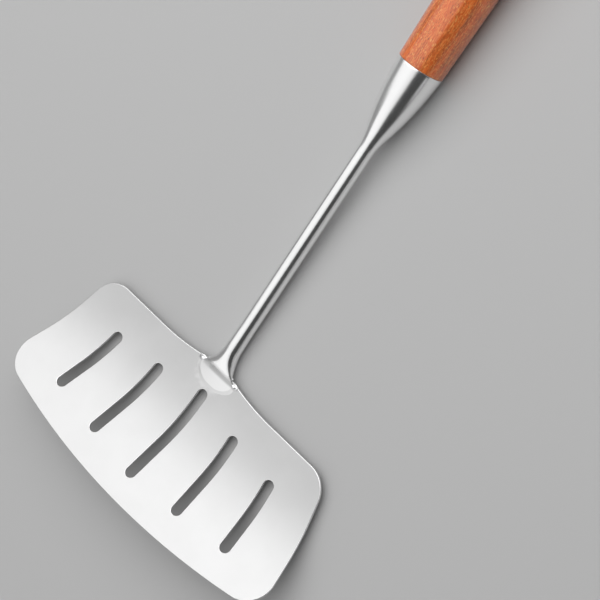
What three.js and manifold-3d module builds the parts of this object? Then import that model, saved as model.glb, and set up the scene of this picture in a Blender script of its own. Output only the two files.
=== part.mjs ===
// Wok spatula: a bent, slotted steel blade welded to a tubular shank, a flared ferrule on the shank's end,
// and a turned wooden grip that a tie rod draws into the ferrule.
// Millimetres. The finished part lies on its underside: +Y runs from the blade to the tail, +X is to the
// right and +Z is up, with the origin under the middle of the part.
import * as THREE from 'three';
import { mergeVertices } from 'three/addons/utils/BufferGeometryUtils.js';
import Module from 'manifold-3d';

const wasm = await Module();
wasm.setup();

const radians = THREE.MathUtils.degToRad;

// Blade, measured along the sheet from the middle of its front edge
const BLADE_LENGTH = 84.8;
const BLADE_REAR_HALF_WIDTH = 85.4;
const BLADE_SIDE_ANGLE = radians(14.6);
const BLADE_CORNER_RADIUS = 15.5;
const BLADE_THICKNESS = 1.5;
const BLADE_FRONT_FLAT = 38.3;
const BLADE_BEND_RADIUS = 65.7;
const BLADE_BEND_ANGLE = radians(22.4);

// The front edge and the fan of slots share one centre behind the blade
const FAN_RADIUS = 448;
const SLOT_PITCH = radians(4.5);
const SLOT_WIDTH = 6.2;
// From the front edge to the slot and from the slot to the rear edge: middle slot, next pair, outer pair
const SLOT_FRONT_MARGINS = [13.3, 15.2, 15.6];
const SLOT_REAR_MARGINS = [10.5, 18.4, 25.4];

// Tab on the rear edge that carries the shank
const TAB_HALF_WIDTH = 11;
const TAB_FILLET_RADIUS = 147;
const TAB_FILLET_REACH = 31;

// Shank: a round tube whose front end is pressed into a tongue that laps over the blade
const SHANK_DIAMETER = 9;
const SHANK_WALL = 0.9;
const SHANK_LENGTH = 140.7;
// The axis rises from the blade's rear flat, and starts below the top face at the rear edge
const SHANK_LIFT = radians(5.5);
const AXIS_DROP = 0.2;
const TONGUE_WIDTH = 23.6;
const TONGUE_LENGTH = 8;
// The tip of the tongue ends in a narrow flat
const TONGUE_TIP_WIDTH = 6.3;
const TONGUE_SETBACK = 1.2;
const TONGUE_THICKNESS = 1.5;
const TONGUE_TIP_THICKNESS = 0.9;
const FISHTAIL_LENGTH = 18;
const NECK_DIAMETER = 10.2;
const NECK_LENGTH = 30;
// Powers of the curves of the tongue's nose and of the fishtail's sides, top and underside
const NOSE_POWER = 2.5;
const FISHTAIL_SIDE_POWER = 2.8;
const FISHTAIL_TOP_POWER = 2.3;
const FISHTAIL_UNDERSIDE_POWER = 4;
// Powers of the rounded sections: a circle, the neck at the crease and the flat tongue
const ROUND_SECTION = 2;
const CREASE_SECTION = 4;
const TONGUE_SECTION = 5;

// Welds between the shank and the blade
const FILLET_WELD_WIDTH = 1.3;
const SHOULDER_WELD_RADIUS = 2;
const UNDERSIDE_WELD_DEPTH = 2;

// Ferrule: a flared steel shell with a spigot in the shank's bore
const FERRULE_LENGTH = 51.5;
const FERRULE_MOUTH_DIAMETER = 25.2;
const FERRULE_WALL = 0.9;
const FERRULE_MOUTH_SLOPE = 0.06;
const FERRULE_SPIGOT_LENGTH = 8;
// The flare's curve handles, as parts of the ferrule's length
const FLARE_START_PULL = 0.23;
const FLARE_END_PULL = 0.68;

// Grip, and the steel parts that hold it
const GRIP_LENGTH = 94;
const GRIP_BELLY_DIAMETER = 27.6;
const GRIP_BELLY_AT = 60;
const GRIP_TAIL_DIAMETER = 25.6;
const TENON_LENGTH = 20;
const ROD_DIAMETER = 6;
const ROD_OVERHANG = 1.5;
const ANCHOR_THICKNESS = 5;
const WASHER_DIAMETER = 13;
const WASHER_THICKNESS = 1.2;
const NUT_ACROSS_FLATS = 10;
const NUT_HEIGHT = 5;
const CAP_SKIRT = 8;
const CAP_WALL = 1;
const CAP_CORNER_RADIUS = 3.5;
const LOOP_WIRE_DIAMETER = 3;
const LOOP_INNER_WIDTH = 11;
const LOOP_LEG = 5;

// Clearance between a piece and the one that it seats on or fits in
const SEAT_GAP = 0.3;

// Facets
const LATHE_SIDES = 32;
const CURVE_STEPS = 12;
const LINE_STEPS = 8;
const BEND_STEPS = 8;
const WIRE_STEPS = 5;
const NUT_SIDES = 6;
// Points of an outline that lie closer than this are one point
const SAME_POINT = 0.03;
// The fishtail's rings crowd towards the crease by this power
const RING_CROWDING = 1.5;

// Values that follow from the sizes above
const shankRadius = SHANK_DIAMETER / 2;
const neckRadius = NECK_DIAMETER / 2;
const boreRadius = shankRadius - SHANK_WALL;
const tongueHalfWidth = TONGUE_WIDTH / 2;
const rodRadius = ROD_DIAMETER / 2;
const rodHoleRadius = rodRadius + SEAT_GAP;
const mouthRadius = FERRULE_MOUTH_DIAMETER / 2;
const tailRadius = GRIP_TAIL_DIAMETER / 2;
const bendEnd = BLADE_FRONT_FLAT + BLADE_BEND_RADIUS * BLADE_BEND_ANGLE;
const halfBend = BLADE_BEND_ANGLE / 2;
const tabRise = TAB_FILLET_RADIUS - Math.sqrt(TAB_FILLET_RADIUS ** 2 - TAB_FILLET_REACH ** 2);

// Stations along the shank's axis, from the blade's rear edge
const tabEnd = tabRise;
const crease = TONGUE_SETBACK;
const fishtailEnd = crease + FISHTAIL_LENGTH;
const neckEnd = crease + NECK_LENGTH;
const ferruleStart = SHANK_LENGTH + SEAT_GAP;
const mouth = ferruleStart + FERRULE_LENGTH;
const tenonEnd = mouth - TENON_LENGTH;
const gripStart = mouth + SEAT_GAP;
const gripTail = gripStart + GRIP_LENGTH;
const tailSpigotEnd = gripTail + CAP_SKIRT;
const nutRear = tailSpigotEnd - ROD_OVERHANG;
const nutFront = nutRear - NUT_HEIGHT;
const washerFront = nutFront - SEAT_GAP - WASHER_THICKNESS;
const pocketFloor = washerFront - SEAT_GAP;
const capEnd = tailSpigotEnd + SEAT_GAP + CAP_WALL;

// Finishes
const finish = (color, roughness, metalness) => (
  new THREE.MeshStandardMaterial({ color, roughness, metalness })
);
const satinSteel = () => finish(0xc9cacb, 0.38, 1);
const polishedSteel = () => finish(0xd6d7d8, 0.16, 1);
const weldSteel = () => finish(0xe2e2e1, 0.3, 1);
const platedSteel = () => finish(0xb9bcc0, 0.35, 1);
const rosewood = () => finish(0xb05a2a, 0.42, 0);

// Turns a closed geometry into a solid that can be joined and cut
function solidOf(geometry) {
  const bare = geometry.clone();
  bare.deleteAttribute('normal');
  bare.deleteAttribute('uv');
  const merged = mergeVertices(bare);
  const vertProperties = new Float32Array(merged.attributes.position.array);
  const triVerts = new Uint32Array(merged.index.array);
  return new wasm.Manifold(new wasm.Mesh({ numProp: 3, vertProperties, triVerts }));
}

// Turns a solid back into a geometry
function geometryOf(solid) {
  const { vertProperties, triVerts } = solid.getMesh();
  const geometry = new THREE.BufferGeometry();
  geometry.setAttribute('position', new THREE.BufferAttribute(vertProperties, 3));
  geometry.setIndex(new THREE.BufferAttribute(triVerts, 1));
  geometry.computeVertexNormals();
  return geometry;
}

function namedMesh(name, geometry, material) {
  const mesh = new THREE.Mesh(geometry, material);
  mesh.name = name;
  return mesh;
}

// A turned piece about the Y axis: profile points are [radius, y], up the outside and down the inside
function turned(profile) {
  const points = profile.map(([radius, y]) => new THREE.Vector2(radius, y));
  points.push(points[0].clone());
  return new THREE.LatheGeometry(points, LATHE_SIDES);
}

// A flat shape in the X-Y plane, thickened upwards from the given height
function plate(shape, height, bottom) {
  const geometry = new THREE.ExtrudeGeometry(shape, { depth: height, bevelEnabled: false });
  return geometry.translate(0, 0, bottom);
}

// The blade's top face at a distance along the sheet, from the rear edge, with the middle of the bend level
// so that the sheet leans as much at the front as at the rear
function topFace(along) {
  const turn = THREE.MathUtils.clamp((bendEnd - along) / BLADE_BEND_RADIUS, 0, BLADE_BEND_ANGLE);
  const flat = Math.max(BLADE_FRONT_FLAT - along, 0);
  const behind = Math.max(along - bendEnd, 0);
  const forward = BLADE_BEND_RADIUS * Math.sin(turn) + flat * Math.cos(turn) - behind;
  const height = BLADE_BEND_RADIUS * (1 - Math.cos(turn)) + flat * Math.sin(turn);
  const point = new THREE.Vector2(bendEnd - BLADE_LENGTH - forward, height);
  point.rotateAround(new THREE.Vector2(), halfBend);
  return { point, lean: turn - halfBend };
}

// Points along the curves of a path, with straight lines divided too so that they can follow the bend
function sampled(path) {
  const stepsOf = (curve) => (curve.isLineCurve ? LINE_STEPS : CURVE_STEPS);
  const points = path.curves.flatMap((curve) => curve.getPoints(stepsOf(curve)));
  const apart = (point, before) => !before || point.distanceTo(before) > SAME_POINT;
  return points.filter((point, index) => apart(point, points[index - 1]));
}

const toPlan = (place) => new THREE.Vector2(place.x, topFace(place.y).point.x);

// Right half of the blade's outline on the flat sheet, from the front edge round to the tab
function bladeHalfOutline() {
  const radius = BLADE_CORNER_RADIUS;
  const out = new THREE.Vector2(Math.cos(BLADE_SIDE_ANGLE), Math.sin(BLADE_SIDE_ANGLE));
  const ahead = new THREE.Vector2(out.y, -out.x);
  const inset = new THREE.Vector2(BLADE_REAR_HALF_WIDTH, BLADE_LENGTH).addScaledVector(out, -radius);
  const fromFan = inset.clone().sub(new THREE.Vector2(0, FAN_RADIUS));
  const projected = fromFan.dot(ahead);
  const reach = Math.sqrt(projected ** 2 - fromFan.lengthSq() + (FAN_RADIUS - radius) ** 2) - projected;
  const front = inset.clone().addScaledVector(ahead, reach);
  const rear = inset.clone().addScaledVector(ahead, (radius * (1 - out.y)) / out.x);
  const frontTurn = Math.atan2(front.x, FAN_RADIUS - front.y);
  const filletTurn = Math.asin(TAB_FILLET_REACH / TAB_FILLET_RADIUS);
  const filletX = TAB_HALF_WIDTH + TAB_FILLET_REACH;
  const filletY = BLADE_LENGTH + TAB_FILLET_RADIUS;
  const quarter = Math.PI / 2;

  const path = new THREE.Path();
  path.absarc(0, FAN_RADIUS, FAN_RADIUS, -quarter, frontTurn - quarter, false);
  path.absarc(front.x, front.y, radius, frontTurn - quarter, BLADE_SIDE_ANGLE, false);
  path.absarc(rear.x, rear.y, radius, BLADE_SIDE_ANGLE, quarter, false);
  path.absarc(filletX, filletY, TAB_FILLET_RADIUS, -quarter, -quarter - filletTurn, true);
  return sampled(path);
}

// One slot on the flat sheet: a round-ended cut along a spoke of the fan
function slotOutline(place) {
  const ring = Math.abs(place);
  const half = SLOT_WIDTH / 2;
  const far = FAN_RADIUS - SLOT_FRONT_MARGINS[ring] - half;
  const near = FAN_RADIUS - BLADE_LENGTH + SLOT_REAR_MARGINS[ring] + half;
  const path = new THREE.Path();
  path.absarc(0, -far, half, Math.PI, 2 * Math.PI, false);
  path.absarc(0, -near, half, 0, Math.PI, false);
  path.closePath();
  const centre = new THREE.Vector2();
  return sampled(path).map((point) => {
    const spoke = point.rotateAround(centre, place * SLOT_PITCH);
    return new THREE.Vector2(spoke.x, spoke.y + FAN_RADIUS);
  });
}

// The bent sheet's side profile, run across the blade's whole width
function bentSheet(halfWidth) {
  const stations = [-BLADE_THICKNESS];
  for (let step = 0; step <= BEND_STEPS; step += 1) {
    stations.push(THREE.MathUtils.lerp(BLADE_FRONT_FLAT, bendEnd, step / BEND_STEPS));
  }
  stations.push(BLADE_LENGTH + tabRise + BLADE_THICKNESS);
  const faces = stations.map(topFace);
  const top = faces.map(({ point }) => point);
  const bottom = faces.map(({ point, lean }) => {
    const under = new THREE.Vector2(-Math.sin(lean), -Math.cos(lean));
    return under.multiplyScalar(BLADE_THICKNESS).add(point);
  });
  const profile = new THREE.Shape([...bottom, ...top.reverse()]);
  const geometry = new THREE.ExtrudeGeometry(profile, { depth: 2 * halfWidth, bevelEnabled: false });
  const across = new THREE.Matrix4().makeBasis(
    new THREE.Vector3(0, 1, 0),
    new THREE.Vector3(0, 0, 1),
    new THREE.Vector3(1, 0, 0),
  );
  return geometry.applyMatrix4(across).translate(-halfWidth, 0, 0);
}

function bladeGeometry() {
  const right = bladeHalfOutline().map(toPlan);
  const left = right.slice(1).reverse().map((point) => new THREE.Vector2(-point.x, point.y));
  const outline = new THREE.Shape([...right, ...left]);
  const outerRing = SLOT_FRONT_MARGINS.length - 1;
  for (let place = -outerRing; place <= outerRing; place += 1) {
    outline.holes.push(new THREE.Path(slotOutline(place).map(toPlan)));
  }
  const halfWidth = Math.max(...right.map((point) => point.x)) + BLADE_THICKNESS;
  const lowest = topFace((BLADE_FRONT_FLAT + bendEnd) / 2).point.y - 2 * BLADE_THICKNESS;
  const highest = Math.max(topFace(0).point.y, topFace(BLADE_LENGTH + tabRise).point.y) + BLADE_THICKNESS;
  const plan = plate(outline, highest - lowest, lowest);
  return geometryOf(solidOf(bentSheet(halfWidth)).intersect(solidOf(plan))).rotateX(-halfBend);
}

// Height of the blade's rear flat over the shank's axis
const bladeHeight = (y) => AXIS_DROP - Math.tan(SHANK_LIFT) * y;

// How wide the tongue's nose is at a part of its length, and the other way round
const nose = (part) => (1 - Math.abs(part) ** NOSE_POWER) ** (1 / NOSE_POWER);

// The shank's section at a station: flat tongue on the blade, then a neck that closes into the round tube.
// The skin can be grown on all sides, to cut the seats of the pieces around it.
function shankSection(y, grow) {
  const { lerp, clamp } = THREE.MathUtils;
  const seat = bladeHeight(y) + SEAT_GAP;
  if (y <= crease) {
    const forward = (crease - y) / (TONGUE_LENGTH + grow);
    const halfWidth = (tongueHalfWidth + grow) * nose(forward);
    const thickness = lerp(TONGUE_THICKNESS, TONGUE_TIP_THICKNESS, forward);
    return { halfWidth, bottom: seat - grow, top: seat + thickness + grow, power: TONGUE_SECTION };
  }
  const open = Math.max(1 - (y - crease) / FISHTAIL_LENGTH, 0);
  const held = clamp((fishtailEnd - y) / (fishtailEnd - tabEnd), 0, 1);
  const tapered = Math.min((y - crease) / NECK_LENGTH, 1);
  const radius = lerp(neckRadius, shankRadius, tapered);
  const creaseTop = bladeHeight(crease) + SEAT_GAP + TONGUE_THICKNESS;
  return {
    halfWidth: lerp(radius, tongueHalfWidth, open ** FISHTAIL_SIDE_POWER) + grow,
    bottom: lerp(-radius, seat, held ** FISHTAIL_UNDERSIDE_POWER) - grow,
    top: lerp(radius, creaseTop, open ** FISHTAIL_TOP_POWER) + grow,
    power: lerp(ROUND_SECTION, CREASE_SECTION, open ** 2),
  };
}

// Points of a rounded section about its middle, counter-clockwise seen from the tail
function sectionRing(y, { halfWidth, bottom, top, power }) {
  const middle = (top + bottom) / 2;
  const halfHeight = (top - bottom) / 2;
  const rounded = (value) => Math.sign(value) * Math.abs(value) ** (2 / power);
  return Array.from({ length: LATHE_SIDES }, (_, side) => {
    const angle = (side / LATHE_SIDES) * 2 * Math.PI;
    const x = halfWidth * rounded(Math.cos(angle));
    const z = middle + halfHeight * rounded(Math.sin(angle));
    return new THREE.Vector3(x, y, z);
  });
}

// A closed skin over rings of equal size, from the first ring to the last
function lofted(rings) {
  const sides = rings[0].length;
  const middleOf = (ring) => new THREE.Box3().setFromPoints(ring).getCenter(new THREE.Vector3());
  const points = [...rings.flat(), middleOf(rings[0]), middleOf(rings.at(-1))];
  const firstMiddle = points.length - 2;
  const lastMiddle = points.length - 1;
  const lastRing = (rings.length - 1) * sides;
  const faces = [];
  for (let side = 0; side < sides; side += 1) {
    const next = (side + 1) % sides;
    for (let ring = 0; ring < lastRing; ring += sides) {
      faces.push(ring + side, ring + sides + side, ring + next);
      faces.push(ring + next, ring + sides + side, ring + sides + next);
    }
    faces.push(firstMiddle, side, next);
    faces.push(lastMiddle, lastRing + next, lastRing + side);
  }
  const geometry = new THREE.BufferGeometry().setFromPoints(points);
  geometry.setIndex(faces);
  geometry.computeVertexNormals();
  return geometry;
}

// The shank's outside, from the tip of the tongue to the given station
function shankSkin(grow, end) {
  const blunt = nose(TONGUE_TIP_WIDTH / TONGUE_WIDTH);
  const stations = [];
  for (let step = LINE_STEPS; step > 0; step -= 1) {
    const forward = blunt * Math.sin((step / LINE_STEPS) * (Math.PI / 2));
    stations.push(crease - forward * (TONGUE_LENGTH + grow));
  }
  for (let step = 0; step <= CURVE_STEPS; step += 1) {
    stations.push(crease + FISHTAIL_LENGTH * (step / CURVE_STEPS) ** RING_CROWDING);
  }
  stations.push(neckEnd, end);
  return lofted(stations.map((y) => sectionRing(y, shankSection(y, grow))));
}

function shankGeometry() {
  const boreLength = SHANK_LENGTH - fishtailEnd + SHANK_WALL;
  const bore = new THREE.CylinderGeometry(boreRadius, boreRadius, boreLength, LATHE_SIDES);
  bore.translate(0, fishtailEnd + boreLength / 2, 0);
  return geometryOf(solidOf(shankSkin(0, SHANK_LENGTH)).subtract(solidOf(bore)));
}

// The shank's skin with its clearance, turned into the blade's frame
const clearSkin = shankSkin(SEAT_GAP, SHANK_LENGTH).translate(0, 0, -AXIS_DROP).rotateX(SHANK_LIFT);
const seatOfShank = solidOf(clearSkin);

// A bead round the tongue's front, on the blade's top face
function tongueWeldGeometry() {
  const rear = crease - SHOULDER_WELD_RADIUS - SEAT_GAP;
  const across = tongueHalfWidth + SEAT_GAP + FILLET_WELD_WIDTH;
  const along = TONGUE_LENGTH + SEAT_GAP + FILLET_WELD_WIDTH;
  const start = (crease - rear) / along;
  const points = [];
  for (let step = 0; step <= 2 * CURVE_STEPS; step += 1) {
    const turn = Math.cos((step / (2 * CURVE_STEPS)) * Math.PI);
    const side = turn * nose(start);
    points.push(new THREE.Vector2(across * side, crease - along * nose(side)));
  }
  const bead = plate(new THREE.Shape(points), TONGUE_TIP_THICKNESS, SEAT_GAP);
  return geometryOf(solidOf(bead).subtract(seatOfShank));
}

// A bead on the blade's rear edge beside the tongue's shoulder: side is -1 for left and 1 for right
function shoulderWeldGeometry(side) {
  const bead = new THREE.SphereGeometry(SHOULDER_WELD_RADIUS, LATHE_SIDES / 2, CURVE_STEPS);
  bead.translate(side * (tongueHalfWidth + SEAT_GAP), crease, SEAT_GAP);
  const room = 4 * SHOULDER_WELD_RADIUS;
  const above = new THREE.BoxGeometry(room, room, room);
  above.translate(side * tongueHalfWidth, crease, SEAT_GAP + room / 2);
  return geometryOf(solidOf(bead).intersect(solidOf(above)).subtract(seatOfShank));
}

// A bead in the corner between the end of the blade's tab and the underside of the neck
function undersideWeldGeometry() {
  const start = tabEnd + SEAT_GAP;
  const halfWidth = shankSection(start + UNDERSIDE_WELD_DEPTH, 0).halfWidth;
  const bead = new THREE.BoxGeometry(2 * halfWidth, UNDERSIDE_WELD_DEPTH, BLADE_THICKNESS);
  bead.translate(0, start + UNDERSIDE_WELD_DEPTH / 2, -BLADE_THICKNESS / 2);
  return geometryOf(solidOf(bead).subtract(seatOfShank));
}

// The ferrule's outside, as [radius, y] from the shank to the mouth
function flareProfile() {
  const endPull = FLARE_END_PULL * FERRULE_LENGTH;
  const flare = new THREE.CubicBezierCurve(
    new THREE.Vector2(shankRadius, ferruleStart),
    new THREE.Vector2(shankRadius, ferruleStart + FLARE_START_PULL * FERRULE_LENGTH),
    new THREE.Vector2(mouthRadius - FERRULE_MOUTH_SLOPE * endPull, mouth - endPull),
    new THREE.Vector2(mouthRadius, mouth),
  );
  return flare.getPoints(CURVE_STEPS).map((point) => [point.x, point.y]);
}

// Inner radius of the ferrule at a station
function ferruleBore(y) {
  const profile = flareProfile();
  const after = Math.max(profile.findIndex(([, station]) => station >= y), 1);
  const [startRadius, startY] = profile[after - 1];
  const [endRadius, endY] = profile[after];
  return THREE.MathUtils.mapLinear(y, startY, endY, startRadius, endRadius) - FERRULE_WALL;
}

function ferruleGeometry() {
  const spigotRadius = boreRadius - SEAT_GAP;
  const spigotFront = ferruleStart - FERRULE_SPIGOT_LENGTH;
  const spigotBore = spigotRadius - FERRULE_WALL;
  const outside = flareProfile();
  const inside = outside.slice(1).map(([radius, y]) => [radius - FERRULE_WALL, y]).reverse();
  const spigot = [[spigotBore, spigotFront], [spigotRadius, spigotFront], [spigotRadius, ferruleStart]];
  return turned([...spigot, ...outside, ...inside, [spigotBore, ferruleStart]]);
}

function anchorGeometry() {
  const rear = tenonEnd - SEAT_GAP;
  const front = rear - ANCHOR_THICKNESS;
  const rim = (y) => [ferruleBore(y) - SEAT_GAP, y];
  return turned([[rodHoleRadius, front], rim(front), rim(rear), [rodHoleRadius, rear]]);
}

function rodGeometry() {
  const front = tenonEnd - SEAT_GAP - ANCHOR_THICKNESS - ROD_OVERHANG;
  const rear = nutRear + ROD_OVERHANG - SEAT_GAP;
  const rod = new THREE.CylinderGeometry(rodRadius, rodRadius, rear - front, LATHE_SIDES);
  return rod.translate(0, (front + rear) / 2, 0);
}

function gripGeometry() {
  const tenon = [];
  for (let step = 0; step <= LINE_STEPS; step += 1) {
    const y = THREE.MathUtils.lerp(tenonEnd, mouth, step / LINE_STEPS);
    tenon.push([ferruleBore(y) - SEAT_GAP, y]);
  }
  const [tenonRadius] = tenon.at(-1);
  const swell = new THREE.SplineCurve([
    new THREE.Vector2(mouthRadius, gripStart),
    new THREE.Vector2(GRIP_BELLY_DIAMETER / 2, gripStart + GRIP_BELLY_AT),
    new THREE.Vector2(tailRadius, gripTail),
  ]);
  const outside = swell.getPoints(CURVE_STEPS).map((point) => [point.x, point.y]);
  const spigotRadius = tailRadius - CAP_WALL - SEAT_GAP;
  const pocketRadius = WASHER_DIAMETER / 2 + SEAT_GAP;
  return turned([
    [rodHoleRadius, tenonEnd],
    ...tenon,
    [tenonRadius, gripStart],
    ...outside,
    [spigotRadius, gripTail],
    [spigotRadius, tailSpigotEnd],
    [pocketRadius, tailSpigotEnd],
    [pocketRadius, pocketFloor],
    [rodHoleRadius, pocketFloor],
  ]);
}

function washerGeometry() {
  const rear = washerFront + WASHER_THICKNESS;
  const rim = WASHER_DIAMETER / 2;
  return turned([[rodHoleRadius, washerFront], [rim, washerFront], [rim, rear], [rodHoleRadius, rear]]);
}

function nutGeometry() {
  const corner = NUT_ACROSS_FLATS / 2 / Math.cos(Math.PI / NUT_SIDES);
  const corners = Array.from({ length: NUT_SIDES }, (_, side) => {
    const angle = (side / NUT_SIDES) * 2 * Math.PI;
    return new THREE.Vector2(corner * Math.cos(angle), corner * Math.sin(angle));
  });
  const hexagon = new THREE.Shape(corners);
  hexagon.holes.push(new THREE.Path().absarc(0, 0, rodHoleRadius, 0, 2 * Math.PI, true));
  return plate(hexagon, NUT_HEIGHT, 0).rotateX(-Math.PI / 2).translate(0, nutFront, 0);
}

function capGeometry() {
  const front = gripTail + SEAT_GAP;
  const inner = tailRadius - CAP_WALL;
  const corner = new THREE.Path();
  const roundStart = capEnd - CAP_CORNER_RADIUS;
  corner.absarc(tailRadius - CAP_CORNER_RADIUS, roundStart, CAP_CORNER_RADIUS, 0, Math.PI / 2, false);
  const rounded = corner.getPoints(LINE_STEPS / 2).map((point) => [point.x, point.y]);
  const floor = capEnd - CAP_WALL;
  const cavity = [[0, floor], [inner, floor]];
  return turned([[inner, front], [tailRadius, front], ...rounded, [0, capEnd], ...cavity]);
}

// A wire bail whose two legs stand on the end of the cap
function loopGeometry() {
  const wire = LOOP_WIRE_DIAMETER / 2;
  const bend = LOOP_INNER_WIDTH / 2 + wire;
  const foot = capEnd + SEAT_GAP;
  const bow = foot + LOOP_LEG;
  const middle = foot + LOOP_LEG / 2;
  const route = [new THREE.Vector3(bend, foot, 0), new THREE.Vector3(bend, middle, 0)];
  for (let step = 0; step <= LINE_STEPS; step += 1) {
    const angle = (step / LINE_STEPS) * Math.PI;
    route.push(new THREE.Vector3(bend * Math.cos(angle), bow + bend * Math.sin(angle), 0));
  }
  route.push(new THREE.Vector3(-bend, middle, 0), new THREE.Vector3(-bend, foot, 0));
  const section = new THREE.Shape().absarc(0, 0, wire, 0, 2 * Math.PI, false);
  const extrudePath = new THREE.CatmullRomCurve3(route);
  const options = { steps: 3 * CURVE_STEPS, curveSegments: WIRE_STEPS, extrudePath };
  return new THREE.ExtrudeGeometry(section, options);
}

// Pieces on the blade's own frame, tipped down from the shank's axis
const bladeGroup = new THREE.Group();
bladeGroup.position.z = AXIS_DROP;
bladeGroup.rotation.x = -SHANK_LIFT;
bladeGroup.add(
  namedMesh('blade', bladeGeometry(), satinSteel()),
  namedMesh('tongue_weld', tongueWeldGeometry(), weldSteel()),
  namedMesh('shoulder_weld_left', shoulderWeldGeometry(-1), weldSteel()),
  namedMesh('shoulder_weld_right', shoulderWeldGeometry(1), weldSteel()),
  namedMesh('underside_weld', undersideWeldGeometry(), weldSteel()),
);

// Pieces along the shank's axis
const axisGroup = new THREE.Group();
axisGroup.add(
  bladeGroup,
  namedMesh('shank', shankGeometry(), polishedSteel()),
  namedMesh('ferrule', ferruleGeometry(), polishedSteel()),
  namedMesh('anchor_disc', anchorGeometry(), platedSteel()),
  namedMesh('tie_rod', rodGeometry(), platedSteel()),
  namedMesh('grip', gripGeometry(), rosewood()),
  namedMesh('washer', washerGeometry(), platedSteel()),
  namedMesh('nut', nutGeometry(), platedSteel()),
  namedMesh('end_cap', capGeometry(), polishedSteel()),
  namedMesh('hanging_loop', loopGeometry(), polishedSteel()),
);

// Slope of the surface that the part lies on: the edge of its lower hull under the middle of the shank
function restSlope(group) {
  const points = [];
  group.updateMatrixWorld(true);
  group.traverse((object) => {
    if (!object.isMesh) return;
    const corners = object.geometry.attributes.position;
    for (let index = 0; index < corners.count; index += 1) {
      points.push(new THREE.Vector3().fromBufferAttribute(corners, index).applyMatrix4(object.matrixWorld));
    }
  });
  points.sort((one, other) => one.y - other.y || one.z - other.z);
  const hull = [];
  for (const point of points) {
    while (hull.length > 1 && bendsDown(hull.at(-2), hull.at(-1), point)) hull.pop();
    hull.push(point);
  }
  const rear = hull.findIndex((point) => point.y > SHANK_LENGTH / 2);
  const from = hull[rear - 1];
  const to = hull[rear];
  return (to.z - from.z) / (to.y - from.y);
}

// Whether a chain of three points along Y turns down or runs straight at its middle point
function bendsDown(before, middle, after) {
  const rise = (middle.y - before.y) * (after.z - before.z);
  return rise - (middle.z - before.z) * (after.y - before.y) <= 0;
}

axisGroup.rotation.x = -Math.atan(restSlope(axisGroup));
const box = new THREE.Box3().setFromObject(axisGroup, true);
const under = box.getCenter(new THREE.Vector3()).setZ(box.min.z);
axisGroup.position.sub(under);

const spatula = new THREE.Group();
spatula.add(axisGroup);

export default spatula;
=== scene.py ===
"""Looks of a slotted wok spatula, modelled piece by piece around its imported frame."""

import logging
import math
from collections.abc import Callable, Iterator, Sequence
from contextlib import contextmanager
from dataclasses import dataclass
from enum import Enum
from typing import Any

import bmesh
import bpy
from mathutils import Matrix, Vector


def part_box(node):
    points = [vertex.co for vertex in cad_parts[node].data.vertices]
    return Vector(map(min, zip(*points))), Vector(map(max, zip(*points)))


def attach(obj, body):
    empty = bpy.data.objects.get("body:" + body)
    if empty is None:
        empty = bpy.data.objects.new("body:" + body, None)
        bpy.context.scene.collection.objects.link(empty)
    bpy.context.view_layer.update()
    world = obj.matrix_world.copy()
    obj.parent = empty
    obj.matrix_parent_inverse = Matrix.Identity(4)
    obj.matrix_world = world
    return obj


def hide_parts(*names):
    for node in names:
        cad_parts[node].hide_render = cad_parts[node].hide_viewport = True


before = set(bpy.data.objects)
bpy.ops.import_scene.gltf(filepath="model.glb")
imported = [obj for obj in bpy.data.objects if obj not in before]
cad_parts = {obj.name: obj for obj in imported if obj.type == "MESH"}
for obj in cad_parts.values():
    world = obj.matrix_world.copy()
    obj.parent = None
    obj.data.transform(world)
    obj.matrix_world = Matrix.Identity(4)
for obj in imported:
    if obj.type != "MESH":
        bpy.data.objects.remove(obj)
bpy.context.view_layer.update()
LOG = logging.getLogger("wok_spatula")
MM = 0.001
HAIR = 0.01 * MM
MERGED = 0.002 * MM
TURN_STEPS = 128
NOISE_REACH = (0.2, 0.8)

Piece = bpy.types.Object
Socket = bpy.types.NodeSocket
Pair = tuple[float, float]
Triple = tuple[float, float, float]
Profile = list[Pair]


class Pick(Enum):
    """What a selection in edit mode takes."""

    VERTICES = "VERT"
    EDGES = "EDGE"
    FACES = "FACE"


class Slot(Enum):
    """Material slots of the record."""

    SATIN_STEEL = "satin_steel"
    WELD_STEEL = "weld_steel"
    POLISHED_STEEL = "polished_steel"
    PLATED_STEEL = "plated_steel"
    ROSEWOOD = "rosewood"


# The bench: selecting, drawing, turning and setting down


def only(piece: Piece) -> None:
    """Selects one piece alone and makes it the active one.

    Args:
        piece: The object to work on.
    """
    bpy.ops.object.select_all(action="DESELECT")
    piece.select_set(True)
    bpy.context.view_layer.objects.active = piece


def set_down(piece: Piece, place: Matrix) -> None:
    """Lays a place into a piece's mesh, so that its object sits at the origin.

    Args:
        piece: The object to place.
        place: Where the piece's own frame goes.
    """
    only(piece)
    piece.matrix_world = place
    bpy.ops.object.transform_apply(location=True, rotation=True, scale=True)


def start(name: str, primitive: Callable[..., Any], **settings: Any) -> Piece:
    """Adds the primitive that a piece starts from, with its place and turn laid into its mesh.

    Args:
        name: The piece's name.
        primitive: The operator that adds the primitive.
        settings: The operator's values by name.

    Returns:
        The named object.
    """
    bpy.ops.object.select_all(action="DESELECT")
    primitive(**settings)
    piece = bpy.context.object
    piece.name = piece.data.name = name
    set_down(piece, piece.matrix_world.copy())
    return piece


@contextmanager
def editing(piece: Piece) -> Iterator[None]:
    """Holds one piece in edit mode with nothing selected.

    Args:
        piece: The object to edit.

    Returns:
        A context that goes back to object mode at its end.
    """
    only(piece)
    bpy.ops.object.mode_set(mode="EDIT")
    bpy.ops.mesh.select_mode(type=Pick.VERTICES.value)
    bpy.ops.mesh.select_all(action="DESELECT")
    yield
    bpy.ops.object.mode_set(mode="OBJECT")


def take_all() -> None:
    """Selects everything of the piece in edit mode."""
    bpy.ops.mesh.select_all(action="SELECT")


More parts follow.
